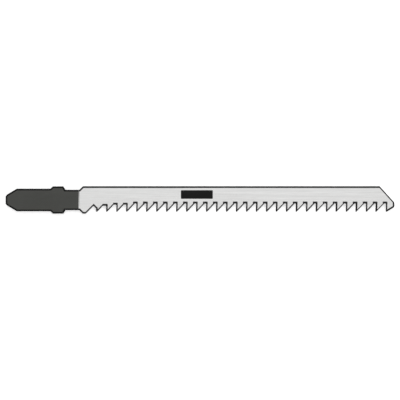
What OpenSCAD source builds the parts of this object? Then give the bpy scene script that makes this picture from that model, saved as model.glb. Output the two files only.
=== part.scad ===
// Jigsaw blade with a T-shank, for wood. All sizes are in millimetres and degrees.
// It is stamped from one strip of steel, its body is ground thinner towards the back edge,
// and its teeth are ground with bevels that face one side and the other in turn.
// The blade lies flat: X runs along it from the shank to the tip, Y across it from the teeth
// to the back edge, and Z through its thickness. The origin lies on the underside of the
// shank, in the middle of the two lugs.

/* [Shank] */
// Thickness of the steel strip, which the shank keeps
strip_thickness = 1.5; // [1.2:0.05:2]
// Width of the shank behind the lugs
shank_width = 6.8; // [6.2:0.05:7.5]
// Length of the shank behind the lugs
shank_length = 13.45; // [10:0.05:18]
// Width of the flat at the very end of the shank
nose_width = 2.4; // [1.6:0.1:3.2]
// Length of the 45 degree corner beside that flat
nose_corner = 0.5; // [0.3:0.05:0.9]
// Length over which the end of the shank narrows
nose_length = 3.35; // [2.4:0.05:5]
// Size of the break along the stamped edges of the shank
shank_edge_break = 0.15; // [0.05:0.01:0.25]

/* [Lugs and neck] */
// Width across the two lugs
lug_width = 8.2; // [7.7:0.05:9]
// Length of the flat top of a lug
lug_length = 3.1; // [2:0.1:5]
// Length of the slope at the back of a lug
lug_ramp = 0.75; // [0.3:0.05:1.5]
// Length of the slope at the front of a lug
lug_shoulder = 0.6; // [0.3:0.05:1.5]
// Width of the neck between the lugs and the body
neck_width = 6.15; // [5:0.05:6.15]
// Length of the neck
neck_length = 4.25; // [3:0.05:8]

/* [Body] */
// Height of the back edge above the centre line
back_height = 4.15; // [3.6:0.05:5]
// Depth of the heel below the centre line
heel_depth = 4.1; // [3.8:0.05:5]
// Length of the flat foot of the heel
heel_length = 0.85; // [0.4:0.05:4]
// Steepness of the heel's slope up to the first gullet
heel_angle = 45; // [38:1:55]
// Size of the break along the ground back edge
back_edge_break = 0.12; // [0.05:0.01:0.2]

/* [Ground sides] */
// Height of the tooth points that keeps the strip's full thickness
full_point = 0.4; // [0.1:0.05:1]
// Steel ground from each side along the back edge
back_grind = 0.22; // [0.16:0.01:0.35]
// Length of neck that is ground with the body
ground_neck = 0.3; // [0.1:0.05:2]
// Corner radius of the grinding wheel, left where the grinding stops
wheel_radius = 0.5; // [0.3:0.05:1]

/* [Teeth] */
// Number of teeth
tooth_count = 30; // [12:1:45]
// Distance from one tooth point to the next
tooth_pitch = 3; // [2.7:0.1:4]
// Depth of the tooth points below the centre line
tooth_depth = 3.5; // [3.3:0.05:3.8]
// Depth of a full gullet
gullet_depth = 2.45; // [2:0.05:2.8]
// Radius in the bottom corners of a gullet
gullet_radius = 0.25; // [0.1:0.05:0.3]
// Angle by which the face of a tooth leans over its gullet
rake_angle = 2; // [0:1:8]
// Steepness of the back of a tooth
flank_angle = 46.5; // [43:0.5:58]
// Angle by which each gullet is ground askew through the blade, which bevels the teeth
bevel_angle = 15; // [5:1:20]
// Width of the flat that is left on a tooth point
point_land = 0.35; // [0.05:0.01:0.4]
// Distance from the root of the first gullet to the first tooth point
first_gullet_reach = 0.8; // [0.6:0.05:3]
// Height of the upright face of the first tooth
first_face = 0.95; // [0.4:0.05:1.2]
// Steps in which the first gullets grow to full depth, two gullets to a step
run_in_steps = 2; // [0:1:2]
// Growth in depth at each of those steps
run_in_growth = 0.35; // [0:0.05:0.35]

/* [Tip] */
// Steepness of the sloping end
end_angle = 48; // [38:1:60]
// Length of blade beyond the last tooth point
tip_overhang = 2.64; // [1.8:0.02:4]
// Steepness of the back of the last tooth
last_flank_angle = 31; // [20:1:38]
// Height of the upright end face
tip_height = 1.35; // [1:0.05:2.5]
// Radius of the corners above and below that face
tip_radius = 0.7; // [0.2:0.05:0.8]

/* [Hidden] */
oxide_grey = [0.29, 0.29, 0.28];
ground_grey = [0.85, 0.85, 0.85];
arc_steps = 6;
overcut = 1;

lug_start = shank_length;
lug_top_start = lug_start + lug_ramp;
lug_top_end = lug_top_start + lug_length;
lug_middle = (lug_top_start + lug_top_end) / 2;
neck_start = lug_top_end + lug_shoulder;
body_start = neck_start + neck_length;
back_start = body_start + back_height - neck_width / 2;
heel_start = body_start + heel_depth - neck_width / 2;
heel_end = heel_start + heel_length;
first_gullet_depth = depth_of_gullet(0);
first_gullet_root = heel_end + (heel_depth - tooth_depth + first_gullet_depth) / tan(heel_angle);
first_point = first_gullet_root + first_gullet_reach;
last_point = first_point + (tooth_count - 1) * tooth_pitch;
blade_end = last_point + tip_overhang;
tip_bottom = (tip_overhang - point_land) * tan(last_flank_angle) - tooth_depth;
tip_top = tip_bottom + tip_height;
back_end = blade_end - (back_height - tip_top) / tan(end_angle);
back_thickness = strip_thickness - 2 * back_grind;
grinding_start = full_point - tooth_depth;
taper_angle = atan(back_grind / (back_height - grinding_start));

// A gullet's depth: every second gullet of the run-in is deeper, up to the full depth.
function depth_of_gullet(i) = gullet_depth - run_in_growth * max(0, run_in_steps - floor(i / 2));

function unit(v) = v / norm(v);

// The arc that rounds one corner, given as [x, y, radius], between its two neighbours.
function corner_arc(before, corner, after) =
    let (
        place = [corner.x, corner.y],
        radius = corner.z,
        arriving = unit(place - [before.x, before.y]),
        leaving = unit([after.x, after.y] - place),
        turn = cross(arriving, leaving) > 0 ? 1 : -1,
        sweep = turn * acos(arriving * leaving),
        centre = place + unit(leaving - arriving) * radius / cos(sweep / 2),
        start = atan2(-turn * arriving.x, turn * arriving.y)
    )
    radius == 0
        ? [place]
        : [for (k = [0 : arc_steps]) let (a = start + sweep * k / arc_steps) centre + radius * [cos(a), sin(a)]];

// An outline with rounded corners, from a list of [x, y, radius].
function rounded(corners) =
    let (n = len(corners))
    [for (i = [0 : n - 1]) each corner_arc(corners[(i + n - 1) % n], corners[i], corners[(i + 1) % n])];

// An outline that is the same above and below the centre line, from its lower half.
function mirrored(lower) =
    let (n = len(lower))
    concat(lower, [for (i = [1 : n]) [lower[n - i].x, -lower[n - i].y]]);

// Cuts the 45 degree break along one edge of an anticlockwise outline, on both sides.
module edge_break(from, to, thickness, size) {
    wide = 4 * size;
    run = norm(to - from) + 2 * wide;
    heading = atan2(to.y - from.y, to.x - from.x);
    middle = (from + to) / 2;
    for (side = [-1, 1])
        translate([middle.x, middle.y, side * thickness / 2])
            rotate([90 - side * 45, 0, heading])
                translate([0, 0, wide / 2 - size / sqrt(2)])
                    cube([run, wide, wide], center = true);
}

// A flat plate of the strip with broken edges. The outline is convex and anticlockwise.
module stamped_plate(outline) {
    difference() {
        linear_extrude(strip_thickness, center = true)
            polygon(outline);
        for (i = [0 : len(outline) - 1])
            edge_break(outline[i], outline[(i + 1) % len(outline)], strip_thickness, shank_edge_break);
    }
}

// The shank behind the lugs, which narrows to a blunt nose.
module shank() {
    stamped_plate(mirrored([
        [0, -nose_width / 2],
        [nose_corner, -nose_width / 2 - nose_corner],
        [nose_length, -shank_width / 2],
        [lug_middle, -shank_width / 2]
    ]));
}

// The two lugs that the saw's holder grips.
module lugs() {
    stamped_plate(mirrored([
        [lug_start, -shank_width / 2],
        [lug_top_start, -lug_width / 2],
        [lug_top_end, -lug_width / 2],
        [neck_start, -neck_width / 2]
    ]));
}

// The neck, which runs on into the body.
module neck() {
    stamped_plate(mirrored([
        [lug_middle, -neck_width / 2],
        [body_start + overcut, -neck_width / 2]
    ]));
}

// The body before grinding, with the heel's notch and the straight edge for the teeth.
module body_plate() {
    linear_extrude(strip_thickness, center = true)
        polygon(rounded([
            [body_start, -neck_width / 2, 0],
            [heel_start, -heel_depth, 0],
            [heel_end, -heel_depth, 0],
            [first_gullet_root, first_gullet_depth - tooth_depth, gullet_radius],
            [first_point, first_face - tooth_depth, 0],
            [first_point, -tooth_depth, 0],
            [last_point + point_land, -tooth_depth, 0],
            [blade_end, tip_bottom, tip_radius],
            [blade_end, tip_top, tip_radius],
            [back_end, back_height, 0],
            [back_start, back_height, 0],
            [body_start, neck_width / 2, 0]
        ]));
}

// What the wheel takes off the two sides of the body, more towards the back edge.
module side_grinding() {
    wheel_start = body_start - ground_neck;
    wheel_end = blade_end + overcut;
    wheel_width = 2 * (back_height + tooth_depth);
    for (side = [0, 1])
        mirror([0, 0, side])
            translate([0, grinding_start, strip_thickness / 2])
                rotate([90 - taper_angle, 0, 0])
                    linear_extrude(2 * wheel_width, center = true)
                        polygon(rounded([
                            [wheel_start, 0, wheel_radius],
                            [wheel_end, 0, 0],
                            [wheel_end, strip_thickness, 0],
                            [wheel_start, strip_thickness, 0]
                        ]));
}

// One gullet, in front of the tooth whose point is at x = 0. It is wider than the gap that
// shows by what the askew cut takes from both walls, so each tooth is full on one side only.
module gullet(depth, side) {
    skew = strip_thickness / 2 * tan(bevel_angle);
    back_of_last = point_land - tooth_pitch - skew;
    outline = rounded([
        [back_of_last, -overcut, 0],
        [skew, -overcut, 0],
        [skew, 0, 0],
        [skew + depth * tan(rake_angle), depth, gullet_radius],
        [back_of_last + depth / tan(flank_angle), depth, gullet_radius],
        [back_of_last, 0, 0]
    ]);
    reach = strip_thickness + tooth_pitch * sin(bevel_angle);
    rotate([0, side * bevel_angle, 0])
        linear_extrude(2 * reach, center = true)
            polygon([for (p = outline) [p.x * cos(bevel_angle), p.y]]);
}

// All the gullets between the teeth, askew to one side and the other in turn.
module gullets() {
    for (i = [1 : tooth_count - 1])
        translate([first_point + i * tooth_pitch, -tooth_depth, 0])
            gullet(depth_of_gullet(i), i % 2 == 0 ? 1 : -1);
}

module blade() {
    translate([-lug_middle, 0, strip_thickness / 2])
        difference() {
            union() {
                color(oxide_grey) {
                    shank();
                    lugs();
                    neck();
                }
                color(ground_grey)
                    body_plate();
            }
            color(ground_grey) {
                side_grinding();
                gullets();
                edge_break([back_end, back_height], [back_start, back_height], back_thickness, back_edge_break);
            }
        }
}

blade();
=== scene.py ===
"""A T-shank jigsaw blade for wood, lying flat on a white table and seen from straight above.

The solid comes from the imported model. This script gives it its finish, and adds the table, the
light and the camera. The finish is laid out in millimetres in the part's own frame: X runs along
the blade from the middle of its lugs, Y across it from the teeth to the back edge, and Z up
through its thickness.
"""

from math import cos, hypot, pi, radians, sin, tan

import bpy
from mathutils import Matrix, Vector

MM = 0.001
WHITE = (1, 1, 1, 1)

# The outline of the shank, the lugs and the neck, as in the part's source
THICKNESS = 1.5
SHANK_END = -15.75
SHANK_HALF = 3.4
NOSE_HALF = 1.2
NOSE_CORNER = 0.5
NOSE_LENGTH = 3.35
LUG_HALF = 4.1
LUG_BACK = -1.55
LUG_FRONT = 1.55
LUG_RAMP = 0.75
LUG_SHOULDER = 0.6
NECK_HALF = 3.075
NECK_LENGTH = 4.25

# The outline of the body and its heel
BODY_START = LUG_FRONT + LUG_SHOULDER + NECK_LENGTH
BACK_EDGE = 4.15
BACK_START = BODY_START + BACK_EDGE - NECK_HALF
HEEL_EDGE = -4.1
HEEL_LENGTH = 0.85
HEEL_START = BODY_START - HEEL_EDGE - NECK_HALF
HEEL_END = HEEL_START + HEEL_LENGTH

# The teeth and their gullets. The gullets of the run-in get deeper in two steps, which end
# before these places in the row.
TEETH = 30
PITCH = 3.0
POINTS = -3.5
POINT_LAND = 0.35
RAKE = radians(2)
FLANK = radians(46.5)
GULLET_DEPTH = 2.45
RUN_IN_GROWTH = 0.35
RUN_IN_ENDS = (1.5, 3.5)

# The notch between the heel and the first tooth
NOTCH_DEPTH = GULLET_DEPTH - len(RUN_IN_ENDS) * RUN_IN_GROWTH
NOTCH_SLOPE = radians(45)
NOTCH_REACH = 0.8
NOTCH_ROOT = HEEL_END + (POINTS + NOTCH_DEPTH - HEEL_EDGE) / tan(NOTCH_SLOPE)
FIRST_POINT = NOTCH_ROOT + NOTCH_REACH
FIRST_FACE = 0.95

# The tip
TIP_OVERHANG = 2.64
TIP_HEIGHT = 1.35
LAST_FLANK = radians(31)
END_SLOPE = radians(48)
LAST_POINT = FIRST_POINT + (TEETH - 1) * PITCH
BLADE_END = LAST_POINT + TIP_OVERHANG
TIP_BOTTOM = POINTS + (TIP_OVERHANG - POINT_LAND) * tan(LAST_FLANK)
TIP_TOP = TIP_BOTTOM + TIP_HEIGHT
BACK_END = BLADE_END - (BACK_EDGE - TIP_TOP) / tan(END_SLOPE)

# Colours of the steel, and of the painted shade on its edges and tooth flanks
BRIGHT_LINE = (0.725, 0.725, 0.72)
DULL_LINE = (0.60, 0.60, 0.595)
# The tooth flanks' ground steel, painted darker than the body as shade
SHADED_FACET = (0.32, 0.32, 0.32)
OXIDE = (0.074, 0.075, 0.070)
# Near-black painted shade along the edges, on the body and over the shank's oxide
EDGE_SHADE = (0.013, 0.013, 0.013)
LASER_BLACK = (0.009, 0.009, 0.009)

# What the dark steel keeps of its shine when it is seen from straight on and at a low angle
DARK_SHINE = 0.25
DARK_GRAZING_SHINE = (0.1, 0.1, 0.1, 1)

# Marks in the steel: the size of their grain along X, Y and Z, and how finely it is broken up
SCRATCHES = ((4.0, 0.035, 0.035), 2)
GROOVES = ((14.0, 0.16, 0.16), 2)
STREAKS = ((40.0, 0.7, 0.7), 2)
WHEEL_MARKS = ((0.06, 0.06, 1.5), 2)
OXIDE_GRAIN = ((0.1, 0.1, 0.1), 3)
OXIDE_CLOUDS = ((6.0, 3.0, 3.0), 2)
RUB_MARKS = ((2.5, 0.05, 0.05), 1)
# The last noise makes the limit of the painted edge shade ragged
SHADE_RAGS = ((0.9, 0.12, 0.12), 3)

# The lines that grinding leaves along the blade, with the share of each kind
LINES = ((SCRATCHES, 0.5), (GROOVES, 0.3), (STREAKS, 0.2))

# Where in the noise lines turn from dull to bright, and where the oxide starts to be rubbed
BRIGHT_FROM = (0.35, 0.65)
RUBBED_FROM = (0.66, 0.74)

# How many times as bright a colour is in its darkest and its brightest marks
FACET_CONTRAST = (0.7, 1.3)
CLOUD_CONTRAST = (0.88, 1.12)
LASER_CONTRAST = 3
GRAIN_CONTRAST = 0.6
RUBBED_CONTRAST = 3

# How much of the oxide's grain and of its rubbed marks shows
GRAIN_COVER = 0.3
RUBBED_COVER = 0.15

# How far the marks rise, and how rough they and the steel between them are
MARK_HEIGHT = 0.006
OXIDE_ROUGHNESS = 0.50
GROUND_ROUGHNESS = 0.17
LINE_ROUGHNESS = 0.30
SHADE_ROUGHNESS = 0.08
WALL_SMOOTHNESS = 0.12

# The part of a face's normal along Z from which it is a flat side and no wall, and the part
# along X from which it faces the tip
FLAT_SIDE = (0.75, 0.95)
FACING_TIP = (0.2, 0.45)

# Where along the blade the ground steel starts, and how softly
GROUND_FROM = 6.2
GROUND_FADE = 0.04

# The painted shade along the edges, a near-black band that stands in for the shade at the outline:
# how wide it is where it starts to fade and where it ends, how ragged it is, how much it covers,
# and how metallic it is on the shank
SHADE_WIDTH = (0.50, 0.60)
SHADE_RAGGED = 0.06
SHADE_COVER = 0.98
SHADE_METAL = 0.8

# What the distance from an edge is multiplied by. Above 1 it makes the painted shade narrower, as
# along slopes and tooth faces, and below 1 broader, as in a gullet's roof and along the back edge.
SLOPE_SHADE = 1.35
FACE_SHADE = 1.15
ROOF_SHADE = 0.87
BACK_SHADE = 0.95

# The patch of painted shade in a gullet's upper corner: its left end from the tooth's face and its
# depth below the roof, and how far the painted shade is rounded between the roof and the face
PATCH_LEFT = -0.38
PATCH_DEPTH = 0.2
ROOF_ROUNDING = 0.45

# The plain field that a laser has blackened, and the distance between the laser's passes
FIELD_LOW = (36.9, 0.35)
FIELD_HIGH = (46.5, 2.95)
FIELD_CORNER = 0.25
FIELD_FADE = 0.03
LASER_PITCH = 0.09

# The camera, in metres and its own millimetres: how wide the view is, and where it is centred
FRAME_WIDTH = 0.12029
FRAME_CENTRE = 0.04265
LENS = 200
SENSOR = 36

# The table top, and how much it is lifted to white where it is seen
TABLE_SIZE = 6
TABLE_WHITE = (0.9, 0.9, 0.9, 1)
TABLE_ROUGHNESS = 0.9
TABLE_LIFT = 0.5

# How bright the room is on what it lights, and a ring of it that is dimmer in what the steel
# mirrors: the heights over which it fades in and out, and how much it dims
ROOM_LIGHT = 0.55
RING_FOOT = (0.06, 0.35)
RING_TOP = (0.80, 0.97)
RING_DEPTH = 0.45

# Softboxes: name, place, width in metres and power in watts
SOFTBOXES = (
    ("key_softbox", (0.08, 0.50, 0.60), 0.5, 2.4),
    ("fill_softbox", (0.25, -0.50, 0.55), 0.5, 1.0),
)

# The sockets of a Mix node that hold its share, its two colours and its result
MIX_SHARE, MIX_FIRST, MIX_SECOND = 0, 6, 7
MIX_COLOUR = 2


class Value:
    """The value of one socket in a node tree. Sums and products of values add Math nodes."""

    def __init__(self, nodes, socket):
        self.nodes = nodes
        self.socket = socket

    def math(self, operation, *others):
        return self.nodes.math(operation, self, *others)

    def __add__(self, other):
        return self.math("ADD", other)

    def __sub__(self, other):
        return self.math("SUBTRACT", other)

    def __rsub__(self, other):
        return self.nodes.math("SUBTRACT", other, self)

    def __mul__(self, other):
        return self.math("MULTIPLY", other)

    def __truediv__(self, other):
        return self.math("DIVIDE", other)

    def __neg__(self):
        return self.math("MULTIPLY", -1)

    def __abs__(self):
        return self.math("ABSOLUTE")

    __radd__ = __add__
    __rmul__ = __mul__


def smallest(first, *rest):
    for value in rest:
        first = first.math("MINIMUM", value)
    return first


def largest(first, *rest):
    for value in rest:
        first = first.math("MAXIMUM", value)
    return first


class Nodes:
    """The emptied node tree of a material or of the world, filled node by node."""

    def __init__(self, owner):
        owner.use_nodes = True
        self.tree = owner.node_tree
        self.tree.nodes.clear()

    def node(self, kind, settings=None, sockets=None, output=0):
        """Adds a node, sets it, fills its sockets with numbers or links, and returns one output."""
        node = self.tree.nodes.new(kind)
        for name, setting in (settings or {}).items():
            setattr(node, name, setting)
        for name, value in (sockets or {}).items():
            if isinstance(value, Value):
                self.tree.links.new(value.socket, node.inputs[name])
            else:
                node.inputs[name].default_value = value
        return Value(self, node.outputs[output]) if node.outputs else None

    def math(self, operation, *values):
        return self.node("ShaderNodeMath", {"operation": operation}, dict(enumerate(values)))

    def part(self, vector, axis):
        return self.node("ShaderNodeSeparateXYZ", {}, {"Vector": vector}, axis)

    def step(self, value, start, end):
        """0 before start and 1 after end, with a smooth change between them."""
        sockets = {"Value": value, "From Min": start, "From Max": end}
        return self.node("ShaderNodeMapRange", {"interpolation_type": "SMOOTHSTEP"}, sockets)

    def rays(self):
        """Which rays are followed: the camera's, mirrored ones and those through glass."""
        names = ("Is Camera Ray", "Is Glossy Ray", "Is Transmission Ray")
        return [self.node("ShaderNodeLightPath", output=name) for name in names]


class Finish(Nodes):
    """A material's nodes, with the point's place in millimetres as x, y and z."""

    def __init__(self, name):
        self.material = bpy.data.materials.new(name)
        super().__init__(self.material)
        place = self.node("ShaderNodeTexCoord", output="Object")
        sockets = {"Vector": place, "Scale": 1 / MM}
        self.place = self.node("ShaderNodeVectorMath", {"operation": "SCALE"}, sockets)
        self.x, self.y, self.z = (self.part(self.place, axis) for axis in "XYZ")

    def noise(self, marks):
        """Noise from 0 to 1 for marks given as the size of their grain and their detail."""
        grain, detail = marks
        sockets = {0: self.place, 1: tuple(1 / size for size in grain)}
        vector = self.node("ShaderNodeVectorMath", {"operation": "MULTIPLY"}, sockets)
        sockets = {"Vector": vector, "Scale": 1.0, "Detail": detail, "Roughness": 0.5}
        return self.node("ShaderNodeTexNoise", {}, sockets, "Fac")

    def blend(self, share, first, second):
        """The first colour where share is 0 and the second where it is 1."""
        first, second = (c if isinstance(c, Value) else (*c, 1) for c in (first, second))
        sockets = {MIX_SHARE: share, MIX_FIRST: first, MIX_SECOND: second}
        return self.node("ShaderNodeMix", {"data_type": "RGBA"}, sockets, MIX_COLOUR)

    def shader(self, **sockets):
        """A Principled shader, its sockets named with _ for each space."""
        sockets = {name.replace("_", " "): value for name, value in sockets.items()}
        return self.node("ShaderNodeBsdfPrincipled", {}, sockets)

    def surface(self, shader):
        self.node("ShaderNodeOutputMaterial", {}, {"Surface": shader})
        return self.material


def shade(colour, times):
    """The same colour, this many times as bright."""
    return [part * times for part in colour]


def left_of(x, y, start, end):
    """How far a place lies to the left of the line from start to end."""
    run, rise = end[0] - start[0], end[1] - start[1]
    length = hypot(run, rise)
    return (y - start[1]) * (run / length) - (x - start[0]) * (rise / length)


def shank_distance(finish):
    """How far a place on the shank is from its outline, which is the same above and below."""
    x, half = finish.x, abs(finish.y)
    nose = (SHANK_END + NOSE_CORNER, NOSE_HALF + NOSE_CORNER)
    shank = smallest(
        x - SHANK_END,
        left_of(x, half, nose, (SHANK_END, NOSE_HALF)),
        left_of(x, half, (SHANK_END + NOSE_LENGTH, SHANK_HALF), nose),
        SHANK_HALF - half,
        -x,
    )
    lugs = smallest(
        left_of(x, half, (LUG_BACK, LUG_HALF), (LUG_BACK - LUG_RAMP, SHANK_HALF)),
        LUG_HALF - half,
        left_of(x, half, (LUG_FRONT + LUG_SHOULDER, NECK_HALF), (LUG_FRONT, LUG_HALF)),
    )
    neck = smallest(NECK_HALF - half, x, HEEL_START - x)
    return largest(shank, lugs, neck)


def gullet_distance(finish, index):
    """How far a place in the steel is from the gullet in front of the tooth of this index."""
    x = finish.x - FIRST_POINT - index * PITCH
    y = finish.y - POINTS
    face = (x - y * tan(RAKE)) * cos(RAKE)
    flank = y * cos(FLANK) - (x + (PITCH - POINT_LAND)) * sin(FLANK)
    first_end, second_end = RUN_IN_ENDS
    steps_missing = index.math("LESS_THAN", first_end) + index.math("LESS_THAN", second_end)
    roof = y - GULLET_DEPTH + steps_missing * RUN_IN_GROWTH
    # The patch and the scaled distances shape the painted shade in the gullet's corner
    patch = largest(PATCH_LEFT - x, -PATCH_DEPTH - roof)
    corner = (face * FACE_SHADE).math("SMOOTH_MAX", roof * ROOF_SHADE, ROOF_ROUNDING)
    return largest(corner, smallest(flank * SLOPE_SHADE, patch))


def teeth_distance(finish):
    """How far a place in the steel is from the nearer of the two gullets beside it."""
    tooth = ((finish.x - FIRST_POINT) / PITCH).math("FLOOR")
    gullets = []
    for shift in (0, 1):
        index = smallest(largest(tooth + shift, 1), TEETH - 1)
        gullets.append(gullet_distance(finish, index))
    return smallest(*gullets)


def body_distance(finish):
    """How far a place on the body is from the nearest edge of its outline, seen from above."""
    x, y = finish.x, finish.y
    notch_root = (NOTCH_ROOT, POINTS + NOTCH_DEPTH)
    last_land = (LAST_POINT + POINT_LAND, POINTS)
    notch = largest(
        left_of(x, y, (HEEL_END, HEEL_EDGE), notch_root) * SLOPE_SHADE,
        left_of(x, y, notch_root, (FIRST_POINT, POINTS + FIRST_FACE)),
        x - FIRST_POINT,
    )
    below_tip = largest(left_of(x, y, last_land, (BLADE_END, TIP_BOTTOM)), LAST_POINT - x)
    return smallest(
        (BACK_EDGE - y) * BACK_SHADE,
        y - HEEL_EDGE,
        left_of(x, y, (BACK_START, BACK_EDGE), (BODY_START, NECK_HALF)),
        left_of(x, y, (BODY_START, -NECK_HALF), (HEEL_START, HEEL_EDGE)),
        largest(y - POINTS, FIRST_POINT - x),
        notch,
        teeth_distance(finish),
        below_tip,
        left_of(x, y, (BLADE_END, TIP_TOP), (BACK_END, BACK_EDGE)) * SLOPE_SHADE,
        BLADE_END - x,
    )


def painted_edge_shade(finish):
    """1 in the band of painted shade along every edge and 0 elsewhere, with a slightly ragged
    limit.
    """
    distance = largest(shank_distance(finish), body_distance(finish))
    return 1 - finish.step(distance + finish.noise(SHADE_RAGS) * SHADE_RAGGED, *SHADE_WIDTH)


def laser_field(finish):
    """1 inside the plain blackened field on the upper side of the body, and 0 outside it."""
    (left, bottom), (right, top) = FIELD_LOW, FIELD_HIGH
    beside = abs(finish.x - (left + right) / 2) - ((right - left) / 2 - FIELD_CORNER)
    above = abs(finish.y - (bottom + top) / 2) - ((top - bottom) / 2 - FIELD_CORNER)
    along, across = largest(beside, 0), largest(above, 0)
    out = (along * along + across * across).math("SQRT")
    inside = 1 - finish.step(out, FIELD_CORNER - FIELD_FADE, FIELD_CORNER + FIELD_FADE)
    return inside * finish.z.math("GREATER_THAN", THICKNESS / 2)


def laser_colour(finish, clouds):
    """The field's black, a little lighter along each pass of the laser."""
    passes = (finish.y * (2 * pi / LASER_PITCH)).math("SINE") * 0.5 + 0.5
    return finish.blend(passes * clouds, LASER_BLACK, shade(LASER_BLACK, LASER_CONTRAST))


def oxide_colour(finish, grain, clouds):
    """The shank's oxide, clouded and finely grained, with a few marks where it is rubbed."""
    rubbed = finish.step(finish.noise(RUB_MARKS), *RUBBED_FROM)
    oxide = finish.blend(clouds, *(shade(OXIDE, times) for times in CLOUD_CONTRAST))
    oxide = finish.blend(grain * GRAIN_COVER, oxide, shade(OXIDE, GRAIN_CONTRAST))
    return finish.blend(rubbed * RUBBED_COVER, oxide, shade(OXIDE, RUBBED_CONTRAST))


def blade_finish():
    """Bright ground steel on the body, dark oxide on the shank, and a band of painted shade along
    the edges.
    """
    finish = Finish("blade_steel")
    normal = finish.node("ShaderNodeNewGeometry", output="True Normal")
    flat = finish.step(abs(finish.part(normal, "Z")), *FLAT_SIDE)
    wall = 1 - flat
    ground = finish.step(finish.x, GROUND_FROM - GROUND_FADE, GROUND_FROM + GROUND_FADE)
    facet = ground * wall * finish.step(finish.part(normal, "X"), *FACING_TIP)
    edge_shade = painted_edge_shade(finish)
    field = laser_field(finish) * flat

    lines = sum(finish.noise(marks) * share for marks, share in LINES)
    wheel_marks, grain, clouds = map(finish.noise, (WHEEL_MARKS, OXIDE_GRAIN, OXIDE_CLOUDS))

    # The flank facets: painted shade darkens their steel, with real wheel marks in it
    shaded_facets = finish.blend(wheel_marks, *(shade(SHADED_FACET, times) for times in FACET_CONTRAST))
    oxide = oxide_colour(finish, grain, clouds)
    # Painted shade: the near-black band along the edges, over the shank's oxide and on the body's
    # walls
    dark = finish.blend(largest(edge_shade * SHADE_COVER, ground), oxide, EDGE_SHADE)
    dark = finish.blend(facet, dark, shaded_facets)
    dark = finish.blend(field, dark, laser_colour(finish, clouds))
    bright = finish.blend(finish.step(lines, *BRIGHT_FROM), DULL_LINE, BRIGHT_LINE)

    polish = (GROUND_ROUGHNESS - OXIDE_ROUGHNESS) + lines * LINE_ROUGHNESS - wall * WALL_SMOOTHNESS
    roughness = OXIDE_ROUGHNESS + ground * polish + edge_shade * SHADE_ROUGHNESS
    height = ground * flat * lines + ground * wall * wheel_marks + (1 - ground) * grain
    sockets = {"Strength": 1.0, "Distance": MARK_HEIGHT * MM, "Height": height}
    bump = finish.node("ShaderNodeBump", {}, sockets)

    dark_steel = finish.shader(
        Base_Color=dark,
        Metallic=largest(ground, edge_shade * SHADE_METAL),
        Roughness=roughness,
        Specular_IOR_Level=DARK_SHINE,
        Specular_Tint=DARK_GRAZING_SHINE,
        Normal=bump,
    )
    bright_steel = finish.shader(Base_Color=bright, Metallic=1.0, Roughness=roughness, Normal=bump)
    # The bright steel shows on the body outside the painted edge shade, the shaded flank facets and
    # the laser field
    shine = ground * (1 - edge_shade * SHADE_COVER) * (1 - facet) * (1 - field)
    steel = finish.node("ShaderNodeMixShader", {}, {0: shine, 1: dark_steel, 2: bright_steel})
    return finish.surface(steel)


def make_table():
    """A white table top. Seen directly or in the steel it is lifted to white, under its shadow."""
    bpy.ops.mesh.primitive_plane_add(size=TABLE_SIZE)
    table = bpy.context.object
    table.name = "table"
    finish = Finish("white_table")
    seen = largest(*finish.rays())
    paint = finish.shader(Base_Color=TABLE_WHITE, Roughness=TABLE_ROUGHNESS)
    sockets = {"Color": WHITE, "Strength": seen * TABLE_LIFT}
    glow = finish.node("ShaderNodeEmission", {}, sockets)
    both = finish.node("ShaderNodeAddShader", {}, {0: paint, 1: glow})
    table.data.materials.append(finish.surface(both))


def make_light():
    """A pale studio. The steel also sees a dimmer ring between the white sweep and the ceiling."""
    world = bpy.data.worlds.new("studio")
    bpy.context.scene.world = world
    studio = Nodes(world)
    height = studio.part(studio.node("ShaderNodeTexCoord", output="Generated"), "Z")
    ring = studio.step(height, *RING_FOOT) * (1 - studio.step(height, *RING_TOP))
    seen, mirrored, clear = studio.rays()
    shown = largest(seen, mirrored * (1 - ring * RING_DEPTH), clear)
    strength = largest(shown, (1 - largest(seen, mirrored, clear)) * ROOM_LIGHT)
    background = studio.node("ShaderNodeBackground", {}, {"Color": WHITE, "Strength": strength})
    studio.node("ShaderNodeOutputWorld", {}, {"Surface": background})

    middle = Vector((FRAME_CENTRE, 0, 0))
    for name, place, size, power in SOFTBOXES:
        lamp = bpy.data.lights.new(name, "AREA")
        lamp.size = size
        lamp.energy = power
        softbox = bpy.data.objects.new(name, lamp)
        bpy.context.scene.collection.objects.link(softbox)
        softbox.location = place
        softbox.rotation_euler = (middle - softbox.location).to_track_quat("-Z", "Y").to_euler()


def make_camera():
    """Looks straight down on the middle of the blade's thickness, with X to the right and Y up."""
    lens = bpy.data.cameras.new("camera")
    lens.lens = LENS
    lens.sensor_width = SENSOR
    camera = bpy.data.objects.new("camera", lens)
    bpy.context.scene.collection.objects.link(camera)
    camera.location = (FRAME_CENTRE, 0, FRAME_WIDTH * LENS / SENSOR + THICKNESS * MM / 2)
    bpy.context.scene.camera = camera


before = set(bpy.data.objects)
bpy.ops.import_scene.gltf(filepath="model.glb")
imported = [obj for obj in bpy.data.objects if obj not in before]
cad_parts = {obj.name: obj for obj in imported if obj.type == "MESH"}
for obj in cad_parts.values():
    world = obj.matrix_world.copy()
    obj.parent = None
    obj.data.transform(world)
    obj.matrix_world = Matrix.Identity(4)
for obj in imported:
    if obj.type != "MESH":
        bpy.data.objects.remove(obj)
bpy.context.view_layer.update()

make_camera()
make_table()
make_light()

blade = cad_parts["blade"]
blade.data.materials.clear()
blade.data.materials.append(blade_finish())

bpy.context.scene.view_settings.view_transform = "Standard"
